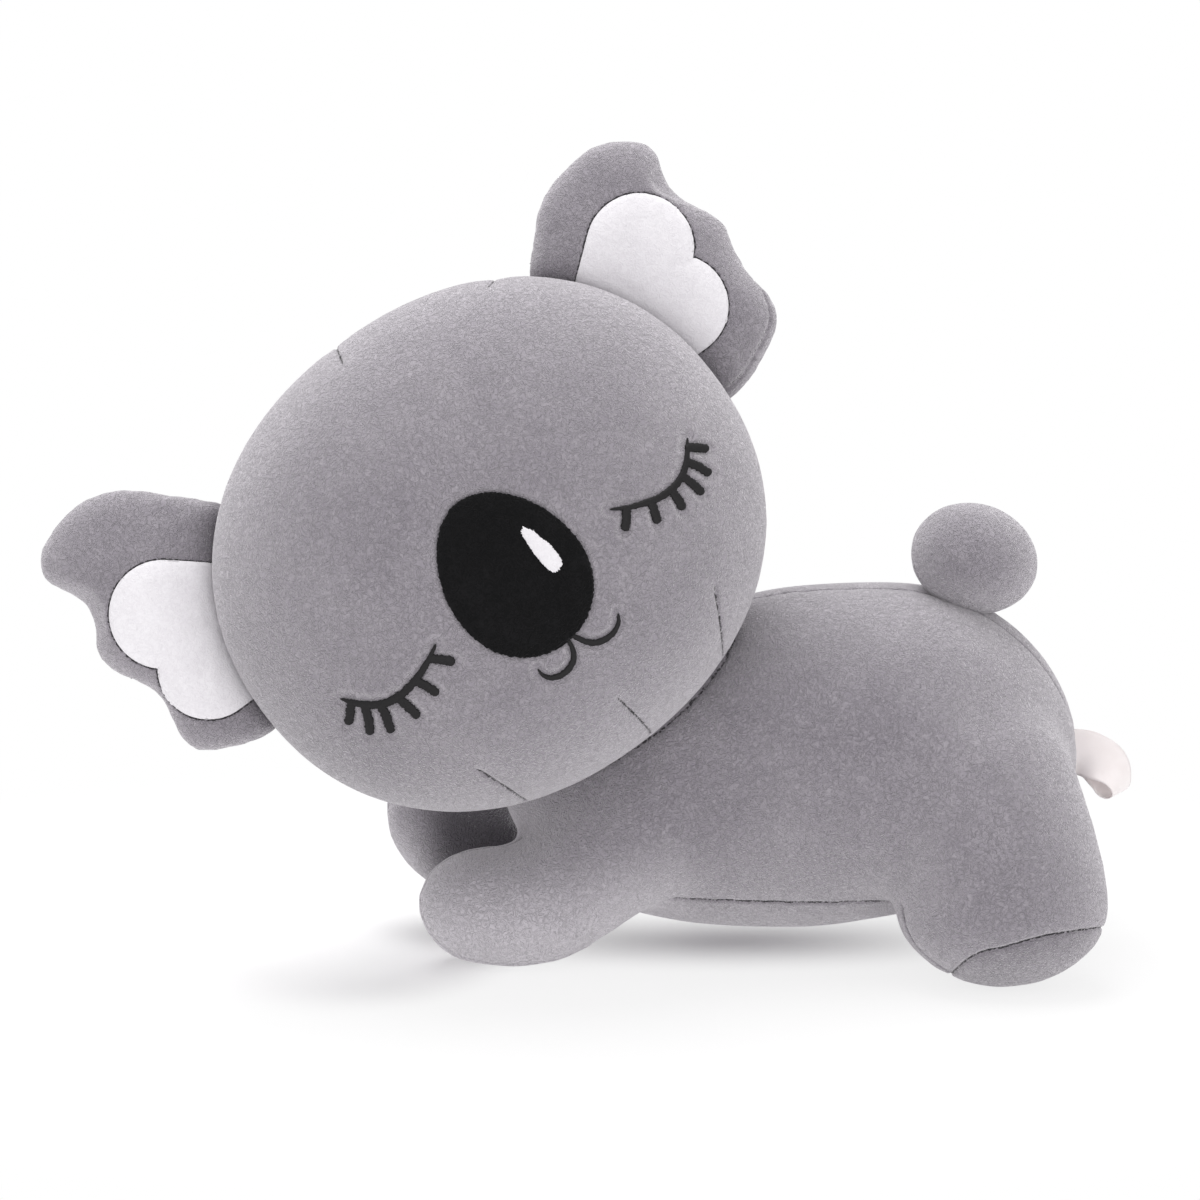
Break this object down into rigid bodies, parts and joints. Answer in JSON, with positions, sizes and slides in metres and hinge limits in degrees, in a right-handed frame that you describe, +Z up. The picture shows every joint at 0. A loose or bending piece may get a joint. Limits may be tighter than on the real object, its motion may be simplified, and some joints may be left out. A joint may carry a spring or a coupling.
{
  "type": "koala cushion",
  "caption": "Stuffed koala cushion lying on its belly, with a large pillow head turned out to one side, lobed ears that flop on their seams, a ball tail and closed embroidered eyes.",
  "frame": {"origin": "on the floor below the middle of the whole cushion's box", "axes": "+X from the head's end to the tail's end, +Y to the koala's right (away from the face), +Z up"},
  "size_m": [0.5061, 0.2324, 0.3856],
  "materials": {
    "grey_plush": "short brushed pile with a soft sheen",
    "white_plush": "short brushed pile",
    "black_plush": "short fuzzy pile",
    "dark_thread": "satin stitch embroidery",
    "white_satin": "woven satin tape",
    "fibre_filling": "loose polyester fibre"
  },
  "bodies": {
    "cushion": {"head_face_panel": "grey_plush", "head_back_panel": "grey_plush", "head_filling": "fibre_filling", "nose_patch": "black_plush", "nose_glint": "white_plush", "left_eye_stitching": "dark_thread", "right_eye_stitching": "dark_thread", "mouth_stitching": "dark_thread", "left_side_panel": "grey_plush", "right_side_panel": "grey_plush", "belly_panel": "grey_plush", "body_filling": "fibre_filling", "left_arm_outer_panel": "grey_plush", "left_arm_inner_panel": "grey_plush", "left_arm_filling": "fibre_filling", "right_arm_outer_panel": "grey_plush", "right_arm_inner_panel": "grey_plush", "right_arm_filling": "fibre_filling", "left_leg_outer_panel": "grey_plush", "left_leg_inner_panel": "grey_plush", "left_foot_sole": "grey_plush", "left_leg_filling": "fibre_filling", "right_leg_outer_panel": "grey_plush", "right_leg_inner_panel": "grey_plush", "right_foot_sole": "grey_plush", "right_leg_filling": "fibre_filling"},
    "left_ear": {"left_ear_front_panel": "grey_plush", "left_ear_heart_lining": "white_plush", "left_ear_back_panel": "grey_plush", "left_ear_filling": "fibre_filling"},
    "right_ear": {"right_ear_front_panel": "grey_plush", "right_ear_heart_lining": "white_plush", "right_ear_back_panel": "grey_plush", "right_ear_filling": "fibre_filling"},
    "tail": {"tail_cover": "grey_plush", "tail_filling": "fibre_filling"},
    "label": {"care_label": "white_satin"}
  },
  "joints": [
    {"name": "left_ear_flop", "type": "hinge", "parent": "cushion", "child": "left_ear", "pos_m": [0.02535, 0.00927, 0.30128], "axis": [0.822, -0.1267, -0.5552], "range_deg": [-25, 25], "stiffness_Nm_per_rad": 0.08},
    {"name": "right_ear_flop", "type": "hinge", "parent": "cushion", "child": "right_ear", "pos_m": [-0.1716, -0.03401, 0.16296], "axis": [-0.2975, 0.242, 0.9235], "range_deg": [-25, 25], "stiffness_Nm_per_rad": 0.08},
    {"name": "tail_wobble", "type": "hinge", "parent": "cushion", "child": "tail", "pos_m": [0.1781, 0.0131, 0.16639], "axis": [0, 1, 0], "range_deg": [-8, 8], "stiffness_Nm_per_rad": 0.05},
    {"name": "label_flap", "type": "hinge", "parent": "cushion", "child": "label", "pos_m": [0.22739, 0.0131, 0.093], "axis": [0, 0, 1], "range_deg": [-60, 60], "stiffness_Nm_per_rad": 0.0005}
  ]
}
